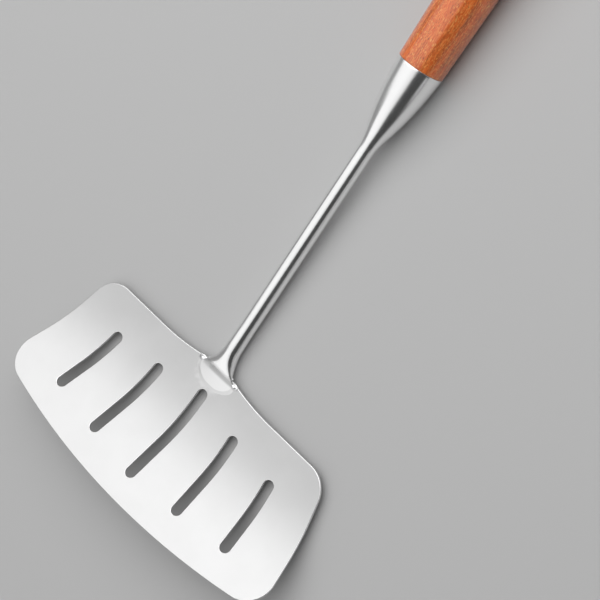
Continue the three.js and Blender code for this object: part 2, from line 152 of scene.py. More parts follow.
def pick(piece: Piece, kind: Pick, test: Callable[[Any], bool]) -> None:
    """Selects what passes a test, and nothing else, in edit mode.

    Args:
        piece: The object in edit mode.
        kind: Whether vertices, edges or faces are tried.
        test: Says whether one of them is taken.
    """
    bpy.ops.mesh.select_mode(type=kind.value)
    bpy.ops.mesh.select_all(action="DESELECT")
    mesh = bmesh.from_edit_mesh(piece.data)
    for element in {Pick.VERTICES: mesh.verts, Pick.EDGES: mesh.edges, Pick.FACES: mesh.faces}[kind]:
        if test(element):
            element.select_set(True)
    mesh.select_flush_mode()
    bmesh.update_edit_mesh(piece.data)


def finish_with(piece: Piece, kind: str, **settings: Any) -> None:
    """Adds a modifier and applies it at once.

    Args:
        piece: The object that gets it.
        kind: The modifier's type.
        settings: The modifier's values by name.
    """
    only(piece)
    modifier = piece.modifiers.new(kind.lower(), kind)
    for key, value in settings.items():
        setattr(modifier, key, value)
    bpy.ops.object.modifier_apply(modifier=modifier.name)


def close_up() -> None:
    """Merges doubled vertices of the piece in edit mode and turns all its faces outwards."""
    take_all()
    bpy.ops.mesh.remove_doubles(threshold=MERGED)
    bpy.ops.mesh.normals_make_consistent(inside=False)


def trace(name: str, points: Sequence[Vector], closed: bool = True) -> Piece:
    """Draws a line of edges from a single vertex, point after point.

    Args:
        name: The piece's name.
        points: The corners of the line.
        closed: Whether the last corner is joined to the first.

    Returns:
        The drawn object.
    """
    piece = start(name, bpy.ops.mesh.primitive_plane_add, size=MM)
    with editing(piece):
        take_all()
        bpy.ops.mesh.merge(type="CENTER")
        bpy.ops.transform.translate(value=points[0])
        for here, there in zip(points, points[1:]):
            bpy.ops.mesh.extrude_vertices_move(TRANSFORM_OT_translate={"value": there - here})
        if closed:
            pick(piece, Pick.VERTICES, lambda vertex: len(vertex.link_edges) == 1)
            bpy.ops.mesh.edge_face_add()
    return piece


def turned(name: str, profile: Profile) -> Piece:
    """Turns a profile about the Y axis, as on a lathe.

    Args:
        name: The piece's name.
        profile: Radius and place of each corner, a closed ring unless it starts on the axis.

    Returns:
        The turned object, closed and facing outwards.
    """
    points = [Vector((radius, along, 0)) for radius, along in profile]
    piece = trace(name, points, closed=points[0].x > 0)
    with editing(piece):
        take_all()
        bpy.ops.mesh.spin(steps=TURN_STEPS, angle=math.tau, center=(0, 0, 0), axis=(0, 1, 0))
        close_up()
    return piece


def rounded(point: Vector, digits: int) -> tuple[float, ...]:
    """Rounds a point, so that equal places can be matched."""
    return tuple(round(value, digits) for value in point)


def drawn_through(name: str, rings: Sequence[Sequence[Vector]]) -> Piece:
    """Extrudes a closed section from ring to ring and closes both ends.

    Args:
        name: The piece's name.
        rings: The section's corners at each station, the same number in each.

    Returns:
        The closed object.
    """
    piece = trace(name, rings[0])
    with editing(piece):
        mesh = bmesh.from_edit_mesh(piece.data)
        corner = mesh.verts.layers.int.new("corner")
        for vertex in mesh.verts:
            vertex[corner] = min(range(len(rings[0])), key=lambda k: (rings[0][k] - vertex.co).length)
        bmesh.update_edit_mesh(piece.data)
        pick(piece, Pick.EDGES, lambda edge: True)
        for ring in rings[1:]:
            bpy.ops.mesh.extrude_region_move(TRANSFORM_OT_translate={"value": (0, 0, 0)})
            mesh = bmesh.from_edit_mesh(piece.data)
            corner = mesh.verts.layers.int["corner"]
            for vertex in mesh.verts:
                if vertex.select:
                    vertex.co = ring[vertex[corner]]
            bmesh.update_edit_mesh(piece.data)
        for end in (rings[0], rings[-1]):
            spots = {rounded(point, 7) for point in end}
            pick(piece, Pick.VERTICES, lambda vertex: rounded(vertex.co, 7) in spots)
            bpy.ops.mesh.edge_face_add()
        take_all()
        bpy.ops.mesh.normals_make_consistent(inside=False)
    return piece


def arc(centre: Vector, radius: float, first: float, last: float, steps: int) -> list[Vector]:
    """Lists the points of an arc in the XY plane.

    Args:
        centre: The arc's centre.
        radius: The arc's radius.
        first: The first angle from +X.
        last: The last angle from +X.
        steps: The number of chords.

    Returns:
        The points with both ends.
    """
    angles = [first + (last - first) * step / steps for step in range(steps + 1)]
    return [centre + radius * Vector((math.cos(angle), math.sin(angle), 0)) for angle in angles]


def curve(corners: Sequence[Pair], steps: int) -> Profile:
    """Lists the points of a curve with four control points.

    Args:
        corners: The control points.
        steps: The number of chords.

    Returns:
        The points with both ends.
    """
    points = []
    for share in (step / steps for step in range(steps + 1)):
        left = 1 - share
        pulls = (left ** 3, 3 * share * left ** 2, 3 * share ** 2 * left, share ** 3)
        points.append(tuple(sum(pull * corner[k] for pull, corner in zip(pulls, corners)) for k in range(2)))
    return points


def mirrored(points: Sequence[Vector]) -> list[Vector]:
    """Lists points backwards on the other side of the middle plane."""
    return [Vector((-point.x, point.y, point.z)) for point in reversed(points)]


def blend(low: float, high: float, share: float) -> float:
    """Goes from one value to another by a share."""
    return low + (high - low) * share


def held(value: float) -> float:
    """Keeps a share between nothing and one."""
    return min(max(value, 0.0), 1.0)


# Finishes


class Nodes:
    """Adds nodes to one shader tree and links them by socket name."""

    def __init__(self, tree: bpy.types.NodeTree) -> None:
        """Takes the tree and empties it."""
        self.tree = tree
        tree.nodes.clear()

    def add(self, kind: str, inputs: dict[Any, Any] | None = None, **settings: Any) -> bpy.types.Node:
        """Adds one node.

        Args:
            kind: The node's type.
            inputs: The socket that feeds each input, or a constant; a colour may be a single grey.
            settings: The node's own values by name.

        Returns:
            The new node.
        """
        node = self.tree.nodes.new(kind)
        for key, value in settings.items():
            setattr(node, key, value)
        for name, value in (inputs or {}).items():
            socket = node.inputs[name]
            if isinstance(value, Socket):
                self.tree.links.new(value, socket)
            elif socket.type == "RGBA":
                socket.default_value = (*value, 1) if isinstance(value, tuple) else (value, value, value, 1)
            else:
                socket.default_value = value
        return node

    def math(self, operation: str, first: Any, second: Any) -> Socket:
        """Adds a sum of two values, each a constant or a socket."""
        return self.add("ShaderNodeMath", {0: first, 1: second}, operation=operation).outputs["Value"]

    def spread(self, value: Socket, reach: Pair, low: float = 0.0, high: float = 1.0) -> Socket:
        """Maps a value's reach to another one, with soft ends."""
        inputs = {"Value": value, "From Min": reach[0], "From Max": reach[1], "To Min": low, "To Max": high}
        return self.add("ShaderNodeMapRange", inputs, interpolation_type="SMOOTHSTEP").outputs["Result"]

    def mix(self, share: Any, first: Any, second: Any) -> Socket:
        """Mixes two colours by a share."""
        inputs = {"Fac": share, "Color1": first, "Color2": second}
        return self.add("ShaderNodeMixRGB", inputs).outputs["Color"]

    def noise(self, vector: Socket, detail: float, rough: float, size: float = 1.0) -> Socket:
        """Adds a noise whose lumps have a size."""
        inputs = {"Vector": vector, "Scale": 1 / size, "Detail": detail, "Roughness": rough}
        return self.add("ShaderNodeTexNoise", inputs).outputs["Fac"]

    def framed(self, vector: Socket, place: Matrix, units: Triple = (1.0, 1.0, 1.0)) -> Socket:
        """Measures a vector in a frame with its own place, turn and units."""
        inputs = {"Vector": vector, "Location": place.to_translation(), "Rotation": place.to_euler(),
                  "Scale": units}
        return self.add("ShaderNodeMapping", inputs, vector_type="TEXTURE").outputs["Vector"]

    def surface(self, inputs: dict[str, Any], height: Socket, relief: float, depth: float) -> None:
        """Adds the bump, the shader and the material's output.

        Args:
            inputs: The shader's inputs but for its normal.
            height: The bump's height.
            relief: The bump's strength.
            depth: How deep the full height is.
        """
        bump = self.add("ShaderNodeBump", {"Height": height, "Strength": relief, "Distance": depth})
        shader = self.add("ShaderNodeBsdfPrincipled", {**inputs, "Normal": bump.outputs["Normal"]})
        self.add("ShaderNodeOutputMaterial", {"Surface": shader.outputs["BSDF"]})


def fresh_material(name: str) -> tuple[bpy.types.Material, Nodes, Socket]:
    """Starts a material.

    Args:
        name: The material's name.

    Returns:
        The material, its empty nodes, and the place on the object.
    """
    made = bpy.data.materials.new(name)
    made.use_nodes = True
    nodes = Nodes(made.node_tree)
    return made, nodes, nodes.add("ShaderNodeTexCoord").outputs["Object"]


def grain_group(patch_size: float = 18 * MM) -> bpy.types.NodeTree:
    """Builds the fine grain that every metal finish shares.

    Args:
        patch_size: The size of the broad patches.

    Returns:
        A group that turns a stretched vector into roughness, height and broad patches.
    """
    tree = bpy.data.node_groups.new("metal_grain", "ShaderNodeTree")
    for name in ("Vector", "Place"):
        tree.interface.new_socket(name, in_out="INPUT", socket_type="NodeSocketVector")
    for name in ("Roughness", "Spread"):
        tree.interface.new_socket(name, in_out="INPUT", socket_type="NodeSocketFloat")
    for name in ("Roughness", "Height", "Patches"):
        tree.interface.new_socket(name, in_out="OUTPUT", socket_type="NodeSocketFloat")
    nodes = Nodes(tree)
    given = nodes.add("NodeGroupInput").outputs
    fine = nodes.noise(given["Vector"], detail=3.0, rough=0.55)
    patches = nodes.noise(given["Place"], detail=3.0, rough=0.5, size=patch_size)
    swing = nodes.math("ADD", nodes.math("SUBTRACT", fine, 0.5), nodes.math("SUBTRACT", patches, 0.5))
    rough = nodes.math("ADD", nodes.math("MULTIPLY", swing, given["Spread"]), given["Roughness"])
    nodes.add("NodeGroupOutput", {"Roughness": rough, "Height": fine, "Patches": patches})
    return tree


@dataclass(frozen=True)
class Bare:
    """Metal as the grain gives it, and the place on it in the shank's frame."""

    nodes: Nodes
    colour: Socket
    rough: Socket
    where: Socket


@dataclass(frozen=True)
class Zone:
    """A stretch of metal with its own colour and added roughness, and soft ends in the shank's frame; some
    zones are ground metal, and the crease's zone is painted shade.
    """

    colour: float
    rear: Pair
    front: Pair | None = None
    left: Pair | None = None
    roughness: float = 0.0


@dataclass(frozen=True)
class Steel:
    """A bare or plated steel with a fine grain, and its zones: ground metal, and painted shade in the crease.
    """

    name: str
    colour: float | Triple
    shade: float | Triple
    roughness: float
    spread: float
    grain: Triple
    relief: float
    zones: tuple[Zone, ...] = ()
    grain_depth: float = 0.01 * MM
    patch_reach: Pair = (0.3, 0.7)

    def material(self, grain: bpy.types.NodeTree, axis: Matrix) -> bpy.types.Material:
        """Builds the finish's material.

        Args:
            grain: The shared grain group.
            axis: The shank's frame, which the grain follows.

        Returns:
            The material.
        """
        made, nodes, place = fresh_material(self.name)
        inputs = {"Vector": nodes.framed(place, axis, self.grain), "Place": place,
                  "Roughness": self.roughness, "Spread": self.spread}
        fine = nodes.add("ShaderNodeGroup", inputs, node_tree=grain).outputs
        plain = nodes.mix(nodes.spread(fine["Patches"], self.patch_reach), self.shade, self.colour)
        colour, rough = self.zoned(Bare(nodes, plain, fine["Roughness"], nodes.framed(place, axis)))
        dressed = {"Base Color": colour, "Metallic": 1.0, "Roughness": rough}
        nodes.surface(dressed, fine["Height"], self.relief, self.grain_depth)
        return made

    def zoned(self, bare: Bare) -> tuple[Socket, Socket]:
        """Lays the zones over the plain metal, the ground ones and the painted shade of the crease alike.

        Args:
            bare: The plain metal.

        Returns:
            The colour and roughness that the shader takes.
        """
        nodes, colour, rough = bare.nodes, bare.colour, bare.rough
        parts = nodes.add("ShaderNodeSeparateXYZ", {"Vector": bare.where}).outputs
        for zone in self.zones:
            share = nodes.spread(parts["Y"], zone.rear, 1.0, 0.0)
            if zone.front:
                share = nodes.math("MULTIPLY", nodes.spread(parts["Y"], zone.front), share)
            if zone.left:
                share = nodes.math("MULTIPLY", share, nodes.spread(parts["X"], zone.left))
            # Each zone's colour goes over the metal; in the crease it is painted shade.
            colour = nodes.mix(share, colour, zone.colour)
            rough = nodes.math("ADD", rough, nodes.math("MULTIPLY", share, zone.roughness))
        return colour, rough


@dataclass(frozen=True)
class SheetSteel(Steel):
    """Satin sheet whose rounded rim is polished, and which is buffed round the joint."""

    rim_colour: float = 0.88
    rim_roughness: float = 0.22
    buffed_colour: float = 0.78
    buffed_strength: float = 0.42
    buffed_centre: Triple = (-1.0 * MM, 1.2 * MM, 0.0)
    buffed_size: Triple = (11.6 * MM, 11.8 * MM, 1.0)
    buffed_fade: Pair = (0.84, 1.14)
    ragged_size: float = 2.5 * MM
    ragged_reach: float = 0.14

    def zoned(self, bare: Bare) -> tuple[Socket, Socket]:
        """Polishes the rim, which the sheet's own attribute marks, and buffs the sheet round the tongue.

        Args:
            bare: The satin metal.

        Returns:
            The colour and roughness that the shader takes.
        """
        nodes = bare.nodes
        rim = nodes.add("ShaderNodeAttribute", attribute_name="rim").outputs["Fac"]
        zone = nodes.framed(bare.where, Matrix.Translation(self.buffed_centre), self.buffed_size)
        reach = nodes.add("ShaderNodeVectorMath", {"Vector": zone}, operation="LENGTH").outputs["Value"]
        lumps = nodes.noise(bare.where, detail=2.0, rough=0.5, size=self.ragged_size)
        ragged = nodes.spread(lumps, NOISE_REACH, -self.ragged_reach, self.ragged_reach)
        buffed = nodes.spread(nodes.math("ADD", reach, ragged), self.buffed_fade, self.buffed_strength, 0.0)
        lighter = nodes.mix(buffed, bare.colour, self.buffed_colour)
        return nodes.mix(rim, lighter, self.rim_colour), nodes.mix(rim, bare.rough, self.rim_roughness)


@dataclass(frozen=True)
class Fibre:
    """One layer of the wood's figure: its fibres, how they vary, and where they show."""

    width: float
    length: float
    detail: float
    rough: float
    shows: Pair
    strength: float = 1.0


@dataclass(frozen=True)
class Rosewood:
    """Oiled and varnished rosewood with fibres along the grip."""

    name: str = "oiled_rosewood"
    dark: Triple = (0.25, 0.034, 0.007)
    middle: Triple = (0.70, 0.120, 0.016)
    light: Triple = (0.92, 0.290, 0.066)
    pore: Triple = (0.14, 0.030, 0.008)
    fleck: Triple = (0.95, 0.50, 0.14)
    figure: Fibre = Fibre(5 * MM, 50 * MM, 4.0, 0.55, (0.3, 0.7))
    bands: Fibre = Fibre(1.3 * MM, 30 * MM, 3.0, 0.5, (0.35, 0.68))
    fibres: Fibre = Fibre(0.35 * MM, 4.5 * MM, 4.0, 0.6, (0.38, 0.72), 0.8)
    flecks: Fibre = Fibre(0.4 * MM, 1.5 * MM, 1.0, 0.5, (0.60, 0.70), 0.75)
    pores: Fibre = Fibre(0.3 * MM, 1.8 * MM, 2.0, 0.5, (0.62, 0.7))
    pore_depth: float = 0.85
    roughness: float = 0.40
    roughness_swing: float = 0.06
    gloss: float = 0.25
    varnish: float = 1.0
    varnish_roughness: float = 0.2
    varnish_index: float = 1.7
    relief: float = 0.45
    relief_depth: float = 0.05 * MM

    def material(self, axis: Matrix) -> bpy.types.Material:
        """Builds the wood's material.

        Args:
            axis: The shank's frame, which the fibres follow.

        Returns:
            The material.
        """
        made, nodes, place = fresh_material(self.name)

        def grown(layer: Fibre) -> tuple[Socket, Socket]:
            """Gives a layer's noise, and how strongly it shows."""
            noise = nodes.noise(nodes.framed(place, axis, (layer.width, layer.length, layer.width)),
                                layer.detail, layer.rough)
            return noise, nodes.spread(noise, layer.shows, 0.0, layer.strength)

        strands, lit = grown(self.fibres)
        pitted = grown(self.pores)[1]
        layers = ((grown(self.figure)[1], self.middle), (grown(self.bands)[1], self.middle),
                  (lit, self.light), (grown(self.flecks)[1], self.fleck),
                  (nodes.math("MULTIPLY", pitted, self.pore_depth), self.pore))
        colour = self.dark
        for share, tint in layers:
            colour = nodes.mix(share, colour, tint)
        swing = nodes.spread(strands, NOISE_REACH, -self.roughness_swing, self.roughness_swing)
        height = nodes.math("SUBTRACT", nodes.math("MULTIPLY", strands, 0.5), pitted)
        dressed = {"Base Color": colour, "Roughness": nodes.math("ADD", swing, self.roughness),
                   "Specular IOR Level": self.gloss, "Coat Weight": self.varnish,
                   "Coat Roughness": self.varnish_roughness, "Coat IOR": self.varnish_index}
        nodes.surface(dressed, height, self.relief, self.relief_depth)
        return made


# The places that the pieces share


@dataclass(frozen=True)
class Axis:
    """The shank's axis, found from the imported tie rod, with the blade's rear flat hung from it."""

    rod_front: float = 165.7 * MM
    drop: float = 0.2 * MM
    lift: float = math.radians(5.5)

    def shank_place(self) -> Matrix:
        """Finds the frame with Y along the shank and its origin over the blade's rear edge.

        Returns:
            The frame's matrix.
        """
        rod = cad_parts["tie_rod"].data
        points = [Vector(spot) for spot in {rounded(vertex.co, 6) for vertex in rod.vertices}]
        middle = sum(point.y for point in points) / len(points)
        front = [point for point in points if point.y < middle]
        rear = [point for point in points if point.y >= middle]
        front_end = sum(front, Vector()) / len(front)
        run = (sum(rear, Vector()) / len(rear) - front_end).normalized()
        place = Matrix.Translation(front_end - run * self.rod_front)
        return place @ Matrix.Rotation(math.atan2(run.z, run.y), 4, "X")

    def blade_place(self) -> Matrix:
        """Finds the frame of the blade's rear flat, with its origin on the top face at the rear edge."""
        turn = Matrix.Rotation(-self.lift, 4, "X")
        return self.shank_place() @ Matrix.Translation((0, 0, self.drop)) @ turn


@dataclass
class Workshop:
    """Keeps the shared places and finishes, and hands finished pieces to the frame."""

    shank_place: Matrix
    blade_place: Matrix
    finishes: dict[Slot, bpy.types.Material]

    def hand_over(self, piece: Piece, slot: Slot, node: str, smooth: float = 40.0,
                  place: Matrix | None = None) -> None:
        """Sets a finished piece down, dresses it and ties it to the frame.

        Args:
            piece: The finished piece.
            slot: The record's slot whose finish it takes.
            node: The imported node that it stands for.
            smooth: Edges sharper than this many degrees stay sharp.
            place: Where the piece's own frame goes, or else it is the shank's.
        """
        set_down(piece, place or self.shank_place)
        bpy.ops.object.shade_smooth_by_angle(angle=math.radians(smooth))
        piece.data.materials.clear()
        piece.data.materials.append(self.finishes[slot])
        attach(piece, "root")
        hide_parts(node)
        LOG.info("%s: %d faces, %s", piece.name, len(piece.data.polygons), slot.value)


@dataclass
class Assembly:
    """Pieces that belong together and are handed over in one workshop."""

    shop: Workshop


# The blade


@dataclass
class Blade(Assembly):
    """The slotted sheet: a trapezoid with round corners, bent up towards its front edge."""

    length: float = 84.8 * MM
    rear_half_width: float = 85.4 * MM
    side_angle: float = math.radians(14.6)
    corner_radius: float = 15.5 * MM
    thickness: float = 1.5 * MM
    rim: float = 0.4 * MM
    rim_angle: float = math.radians(60)
    front_flat: float = 38.3 * MM
    bend_radius: float = 65.7 * MM
    bend_angle: float = math.radians(22.4)
    bend_lines: int = 24
    ease: float = 68.0 * MM
    ease_softness: float = 0.5
    score_pitch: float = 2.6 * MM
    fan_radius: float = 448.0 * MM
    slot_pitch: float = math.radians(4.5)
    slot_width: float = 6.2 * MM
    slot_rounding: float = 0.4999
    cutter_height: float = 9.0 * MM
    front_margins: Triple = (13.3 * MM, 15.2 * MM, 15.6 * MM)
    rear_margins: Triple = (10.5 * MM, 18.4 * MM, 25.4 * MM)
    tab_half_width: float = 11.0 * MM
    tab_reach: float = 31.0 * MM
    tab_fillet: float = 147.0 * MM

    def build(self) -> None:
        """Makes the sheet, marks its rim, hands it over and eases its shading."""
        sheet = self.plate()
        self.cut_slots(sheet)
        finish_with(sheet, "BEVEL", width=self.rim, segments=5, limit_method="ANGLE",
                    angle_limit=self.rim_angle, loop_slide=False, use_clamp_overlap=False)
        normals = self.fold(sheet)
        rim = sheet.data.attributes.new("rim", "FLOAT", "POINT")
        rim.data.foreach_set("value", [float(not normal.length) for normal in normals])
        self.shop.hand_over(sheet, Slot.SATIN_STEEL, "blade", place=self.shop.blade_place)
        turn = self.shop.blade_place.to_3x3()
        sheet.data.normals_split_custom_set_from_vertices([turn @ normal for normal in normals])

    def half_outline(self) -> list[Vector]:
        """Draws the flat sheet's right half, from the front edge's middle to the tab's middle.

        Returns:
            The points, with the rear edge on the X axis.
        """
        out = Vector((math.cos(self.side_angle), math.sin(self.side_angle), 0))
        ahead = Vector((out.y, -out.x, 0))
        fan = Vector((0, self.fan_radius - self.length, 0))
        inset = Vector((self.rear_half_width, 0, 0)).dot(out) - self.corner_radius
        reach = self.fan_radius - self.corner_radius
        along = fan.dot(ahead) + math.sqrt(reach ** 2 - (inset - fan.dot(out)) ** 2)
        front = inset * out + along * ahead
        turn = math.atan2(front.y - fan.y, front.x)
        rear = Vector(((inset + self.corner_radius * out.y) / out.x, -self.corner_radius, 0))
        fillet = Vector((self.tab_half_width + self.tab_reach, self.tab_fillet, 0))
        lean = math.acos(self.tab_reach / self.tab_fillet)
        points = arc(fan, self.fan_radius, -math.pi / 2, turn, steps=32)
        points += arc(front, self.corner_radius, turn, self.side_angle, steps=16)[1:]
        points += arc(rear, self.corner_radius, self.side_angle, math.pi / 2, steps=16)
        points += arc(fillet, self.tab_fillet, -math.pi / 2, -math.pi + lean, steps=12)
        return points + [Vector((0, points[-1].y, 0))]

    def plate(self) -> Piece:
        """Draws the outline, fills it and gives it its thickness.

        Returns:
            The flat sheet with its top face at no height.
        """
        right = self.half_outline()
        sheet = trace("blade_sheet", right + mirrored(right[1:-1]))
        with editing(sheet):
            take_all()
            bpy.ops.mesh.edge_face_add()
            bpy.ops.mesh.extrude_region_move(TRANSFORM_OT_translate={"value": (0, 0, -self.thickness)})
            close_up()
        return sheet

    def cut_slots(self, sheet: Piece) -> None:
        """Cuts five round-ended slots on the spokes of the fan.

        Args:
            sheet: The flat sheet.
        """
        fan = Matrix.Translation((0, self.fan_radius - self.length, 0))
        for spoke in range(-2, 3):
            far = self.fan_radius - self.front_margins[abs(spoke)]
            near = self.fan_radius - self.length + self.rear_margins[abs(spoke)]
            size = (self.slot_width, far - near, self.cutter_height)
            cutter = start("slot_cutter", bpy.ops.mesh.primitive_cube_add, size=1, scale=size)
            with editing(cutter):
                pick(cutter, Pick.EDGES,
                     lambda edge: abs(edge.verts[0].co.z - edge.verts[1].co.z) > self.thickness)
                bpy.ops.mesh.bevel(offset=self.slot_rounding * self.slot_width, segments=10, affect="EDGES")
                close_up()
            turn = Matrix.Rotation(spoke * self.slot_pitch, 4, "Z")
            set_down(cutter, fan @ turn @ Matrix.Translation((0, -(near + far) / 2, 0)))
            finish_with(sheet, "BOOLEAN", object=cutter, operation="DIFFERENCE", solver="EXACT")
            bpy.data.objects.remove(cutter)

    def fold(self, sheet: Piece) -> list[Vector]:
        """Scores the flat sheet across and folds it a little at each line of its bend.

        Args:
            sheet: The flat sheet.

        Returns:
            For each vertex, the eased normal of the bent sheet, or nothing on its rim.
        """
        step = self.bend_angle / self.bend_lines
        first = self.front_flat - self.length + self.bend_radius * step / 2
        lines = [first + self.bend_radius * step * line for line in range(self.bend_lines)]
        scores = [-self.score_pitch * score for score in range(int(self.length / self.score_pitch) + 1)]
        with editing(sheet):
            for line in lines + [score for score in scores if not lines[0] < score < lines[-1]]:
                take_all()
                bpy.ops.mesh.bisect(plane_co=(0, line, 0), plane_no=(0, 1, 0))
            take_all()
            bpy.ops.mesh.remove_doubles(threshold=MERGED)
        flat = [vertex.co.copy() for vertex in sheet.data.vertices]
        with editing(sheet):
            for line in lines:
                pick(sheet, Pick.VERTICES, lambda vertex: flat[vertex.index].y < line - HAIR)
                bpy.ops.transform.rotate(value=step, orient_axis="X", center_override=(0, line, 0))
                pick(sheet, Pick.VERTICES, lambda vertex: abs(flat[vertex.index].y - line) <= HAIR)
                bpy.ops.transform.rotate(value=step / 2, orient_axis="X", center_override=(0, line, 0))
        normals = []
        for point in flat:
            share = held(-point.y / self.ease)
            lean = self.bend_angle * blend(share, share ** 2 * (3 - 2 * share), self.ease_softness)
            side = (abs(point.z) <= HAIR) - (abs(point.z + self.thickness) <= HAIR)
            normals.append(side * Vector((0, math.sin(lean), math.cos(lean))))
        return normals


# The shank and its welds


@dataclass
class Shank(Assembly):
    """The tube, pressed at its front into a tongue that laps over the blade's tab."""

    axis: Axis = Axis()
    radius: float = 4.5 * MM
    wall: float = 0.9 * MM
    end: float = 140.98 * MM
    seat_gap: float = 0.06 * MM
    tongue_half_width: float = 11.8 * MM
    tongue_length: float = 8.0 * MM
    tip_half_width: float = 3.15 * MM
    crease: float = 1.2 * MM
    thickness: float = 1.25 * MM
    tip_thickness: float = 0.3 * MM
    crease_round: float = 1.5 * MM
    fishtail: float = 18.0 * MM
    neck_radius: float = 5.1 * MM
    neck_length: float = 30.0 * MM
    tab_end: float = 3.306 * MM
    nose_power: float = 2.0
    side_power: float = 2.8
    neck_rounding: float = 2.8
    edge_share: float = 0.25
    nose_edge_share: float = 0.9
    crown_length: float = 4.0 * MM
    top_power: float = 2.3
    underside_power: float = 4.0
    sides: int = 96
    tip_steps: int = 22
    tip_crowding: float = 1.7
    neck_steps: int = 44
    neck_crowding: float = 1.35
    tube_steps: int = 6
    crease_steps: int = 4

    def build(self) -> None:
        """Draws the tube through its sections, bores its rear end and hands it over."""
        tube = drawn_through("shank_tube", [self.ring(along) for along in self.stations()])
        depth = self.end - self.crease - self.neck_length
        with editing(tube):
            pick(tube, Pick.FACES, lambda face: all(vertex.co.y > self.end - HAIR for vertex in face.verts))
            bpy.ops.mesh.inset(thickness=self.wall)
            bpy.ops.mesh.extrude_region_move(TRANSFORM_OT_translate={"value": (0, -depth, 0)})
        self.shop.hand_over(tube, Slot.POLISHED_STEEL, "shank", 50.0)

    def nose(self, share: float) -> float:
        """Gives the other side of the tongue's round front for one of its sides."""
        return (1 - abs(share) ** self.nose_power) ** (1 / self.nose_power)

    def nose_shares(self, steps: int) -> list[float]:
        """Lists places from the blunt tip back to the crease as shares, close together at the tip."""
        blunt = self.nose(self.tip_half_width / self.tongue_half_width)
        return [blunt * (1 - (step / steps) ** self.tip_crowding) for step in range(steps + 1)]

    def seat(self, along: float) -> float:
        """Gives the height of the blade's rear flat under the tongue."""
        return self.axis.drop - math.tan(self.axis.lift) * along + self.seat_gap

    def forward(self, along: float) -> float:
        """Gives how far in front of the crease a place is, as a share of the tongue."""
        return max(self.crease - along, 0.0) / self.tongue_length

    def thick(self, forward: float) -> float:
        """Gives the tongue's thickness."""
        return blend(self.thickness, self.tip_thickness, forward)

    def edge(self, forward: float) -> float:
        """Gives the height of the tongue's edge as a share of its thickness."""
        return blend(self.edge_share, self.nose_edge_share, forward ** 2)

    def opened(self, along: float) -> float:
        """Gives how far the tube is still opened out to the tongue's width."""
        return max(1 - (along - self.crease) / self.fishtail, 0.0)

    def round_radius(self, along: float) -> float:
        """Gives the radius of the tube behind the crease, before it is pressed."""
        return blend(self.neck_radius, self.radius, min((along - self.crease) / self.neck_length, 1.0))

    def stations(self) -> list[float]:
        """Lists the places of the section's rings, close together at the tip and the crease.

        Returns:
            The places on the axis, from the tip to the rear end.
        """
        shares = [(step / self.neck_steps) ** self.neck_crowding for step in range(self.neck_steps + 1)]
        places = [self.crease - self.tongue_length * share for share in self.nose_shares(self.tip_steps)[:-1]]
        places += [self.crease + self.neck_length * share for share in shares]
        rest = [(step + 1) / self.tube_steps for step in range(self.tube_steps)]
        return places + [blend(self.crease + self.neck_length, self.end, share) for share in rest]

    def top(self, along: float) -> float:
        """Gives the height of the pressed tube's top, with the crease rounded over a short stretch.

        Args:
            along: The place on the axis.

        Returns:
            The height over the axis.
        """
        pressed = self.seat(self.crease) + self.thickness
        heights = []
        for step in range(-self.crease_steps, self.crease_steps + 1):
            place = along + self.crease_round * step / self.crease_steps
            if place <= self.crease:
                heights.append(self.seat(place) + self.thick(self.forward(place)))
            else:
                heights.append(blend(self.round_radius(place), pressed, self.opened(place) ** self.top_power))
        return sum(heights) / len(heights)

    def ring(self, along: float) -> list[Vector]:
        """Draws the section at one place: a crowned strip in front of the crease, a tube behind it.

        Args:
            along: The place on the axis.

        Returns:
            The section's corners.
        """
        forward, bottom, top = self.forward(along), self.seat(along), self.top(along)
        half_width, power, crowned = self.tongue_half_width * self.nose(forward), self.neck_rounding, 1.0
        if along > self.crease:
            opened, radius = self.opened(along), self.round_radius(along)
            neck_end = self.crease + self.fishtail
            lapped = held((neck_end - along) / (neck_end - self.tab_end))
            half_width = blend(radius, self.tongue_half_width, opened ** self.side_power)
            bottom = blend(-radius, bottom, lapped ** self.underside_power)
            power = blend(2.0, self.neck_rounding, opened ** 2)
            crowned = max(1 - (along - self.crease) / self.crown_length, 0.0)
        waist = blend(bottom, top, blend(0.5, self.edge(forward), crowned))
        spread, crown, keel = (blend(2 / power, strip, crowned) for strip in (1.0, 2.0, 0.5))
        points = []
        for side in range(self.sides):
            angle = math.tau * side / self.sides
            out, up = math.cos(angle), math.sin(angle)
            across = math.copysign(half_width * abs(out) ** spread, out)
            height = (top - waist) * up ** crown if up > 0 else (bottom - waist) * (-up) ** keel
            points.append(Vector((across, along, waist + height)))
        return points


